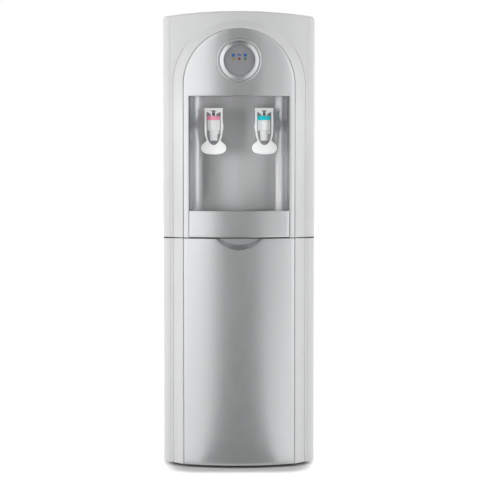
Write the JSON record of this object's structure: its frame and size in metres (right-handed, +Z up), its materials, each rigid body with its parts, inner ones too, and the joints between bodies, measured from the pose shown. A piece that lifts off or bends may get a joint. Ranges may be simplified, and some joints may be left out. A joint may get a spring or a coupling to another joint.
{
  "type": "bottleless water cooler",
  "caption": "Floor-standing water cooler with a bowed silver and white front, an arched niche with hot and cold push-lever taps, a sliding drip tray and a tilting lower door",
  "frame": {"origin": "on the floor under the centre of the overall box", "axes": "+X to the right seen from the front, front faces -Y, +Z up"},
  "size_m": [0.328, 0.3448, 0.98],
  "materials": {
    "white_steel": "satin white powder coat",
    "galvanised_steel": "zinc-coated sheet",
    "white_plastic": "semi-gloss moulded white",
    "bin_plastic": "moulded light grey",
    "silver_plastic": "metallic silver paint",
    "grey_plastic": "satin grey",
    "stainless_steel": "polished sheet",
    "amber_lens": "unlit amber lens",
    "red_lens": "unlit red lens",
    "green_lens": "unlit green lens",
    "circuit_board": "solder mask",
    "pink_plastic": "moulded pink",
    "blue_plastic": "moulded cyan",
    "black_rubber": "matt",
    "seal_rubber": "matt",
    "silicone": "translucent ivory",
    "copper": "drawn tube",
    "foam": "closed-cell foam",
    "heater_steel": "dull band",
    "black_enamel": "black enamel",
    "black_plastic": "moulded black",
    "grey_valve": "moulded grey",
    "magnet": "bonded ferrite",
    "red_plastic": "moulded red",
    "green_plastic": "moulded green"
  },
  "bodies": {
    "cabinet": {"base_pan": "galvanised_steel", "levelling_feet": "black_rubber", "side_panel_left": "white_steel", "side_panel_right": "white_steel", "rear_panel": "galvanised_steel", "top_cover": "white_plastic", "upper_front_frame": "white_plastic", "fascia_panel": "silver_plastic", "control_bezel": "silver_plastic", "display_disc": "grey_plastic", "lamp_amber": "amber_lens", "lamp_red": "red_lens", "lamp_green": "green_lens", "control_board": "circuit_board", "niche_liner": "stainless_steel", "niche_ceiling": "stainless_steel", "mid_deck": "galvanised_steel", "partition": "galvanised_steel", "hot_tap_body": "white_plastic", "cold_tap_body": "white_plastic", "tap_bonnets": "white_plastic", "hot_collar": "pink_plastic", "cold_collar": "blue_plastic", "tap_pins": "stainless_steel", "tap_nuts": "black_plastic", "hot_spring": "stainless_steel", "cold_spring": "stainless_steel", "tap_hoses": "silicone", "cold_tank": "stainless_steel", "evaporator_coil": "copper", "tank_jacket": "foam", "tank_bracket": "galvanised_steel", "hot_tank": "stainless_steel", "band_heater": "heater_steel", "compressor": "black_enamel", "compressor_mounts": "black_rubber", "condenser_tube": "black_enamel", "condenser_wires": "black_enamel", "condenser_brackets": "black_enamel", "filter_bracket": "galvanised_steel", "filter_cartridges": "white_plastic", "inlet_valve": "grey_valve", "inlet_fitting": "black_plastic", "cord_gland": "black_plastic", "drain_plug": "white_plastic", "switch_housings": "black_plastic", "door_magnets": "magnet"},
    "door": {"door_shell": "white_plastic", "door_skin": "silver_plastic"},
    "tray": {"drip_tray": "bin_plastic", "tray_front": "silver_plastic"},
    "grille": {"drip_grille": "stainless_steel"},
    "hot_lever": {"hot_lever": "white_plastic"},
    "cold_lever": {"cold_lever": "white_plastic"},
    "hot_stem": {"hot_stem": "seal_rubber"},
    "cold_stem": {"cold_stem": "seal_rubber"},
    "hot_rocker": {"hot_rocker": "red_plastic"},
    "cold_rocker": {"cold_rocker": "green_plastic"}
  },
  "joints": [
    {"name": "door_tilt", "type": "hinge", "parent": "cabinet", "child": "door", "pos_m": [0, -0.15488, 0.016], "axis": [1, 0, 0], "range_deg": [0, 20]},
    {"name": "tray_slide", "type": "slide", "parent": "cabinet", "child": "tray", "axis": [0, -1, 0], "range_m": [0, 0.11]},
    {"name": "grille_lift", "type": "slide", "parent": "tray", "child": "grille", "axis": [0, 0, 1], "range_m": [0, 0.04]},
    {"name": "hot_lever_push", "type": "hinge", "parent": "cabinet", "child": "hot_lever", "pos_m": [-0.0548, -0.10887, 0.7655], "axis": [1, 0, 0], "range_deg": [0, 15], "stiffness_Nm_per_rad": 0.3, "springref_deg": -20.05},
    {"name": "cold_lever_push", "type": "hinge", "parent": "cabinet", "child": "cold_lever", "pos_m": [0.0548, -0.10887, 0.7655], "axis": [1, 0, 0], "range_deg": [0, 15], "stiffness_Nm_per_rad": 0.3, "springref_deg": -20.05},
    {"name": "hot_stem_lift", "type": "slide", "parent": "cabinet", "child": "hot_stem", "axis": [0, 0, 1], "range_m": [0, 0.0024], "deforming": ["hot_spring"]},
    {"name": "cold_stem_lift", "type": "slide", "parent": "cabinet", "child": "cold_stem", "axis": [0, 0, 1], "range_m": [0, 0.0024], "deforming": ["cold_spring"]},
    {"name": "hot_rocker_tip", "type": "hinge", "parent": "cabinet", "child": "hot_rocker", "pos_m": [-0.11, 0.14513, 0.884], "axis": [1, 0, 0], "range_deg": [0, 16]},
    {"name": "cold_rocker_tip", "type": "hinge", "parent": "cabinet", "child": "cold_rocker", "pos_m": [-0.066, 0.14513, 0.884], "axis": [1, 0, 0], "range_deg": [0, 16]}
  ],
  "couplings": [
    {"joint": "hot_stem_lift", "follows": "hot_lever_push", "m_per_rad": 0.009},
    {"joint": "cold_stem_lift", "follows": "cold_lever_push", "m_per_rad": 0.009}
  ]
}
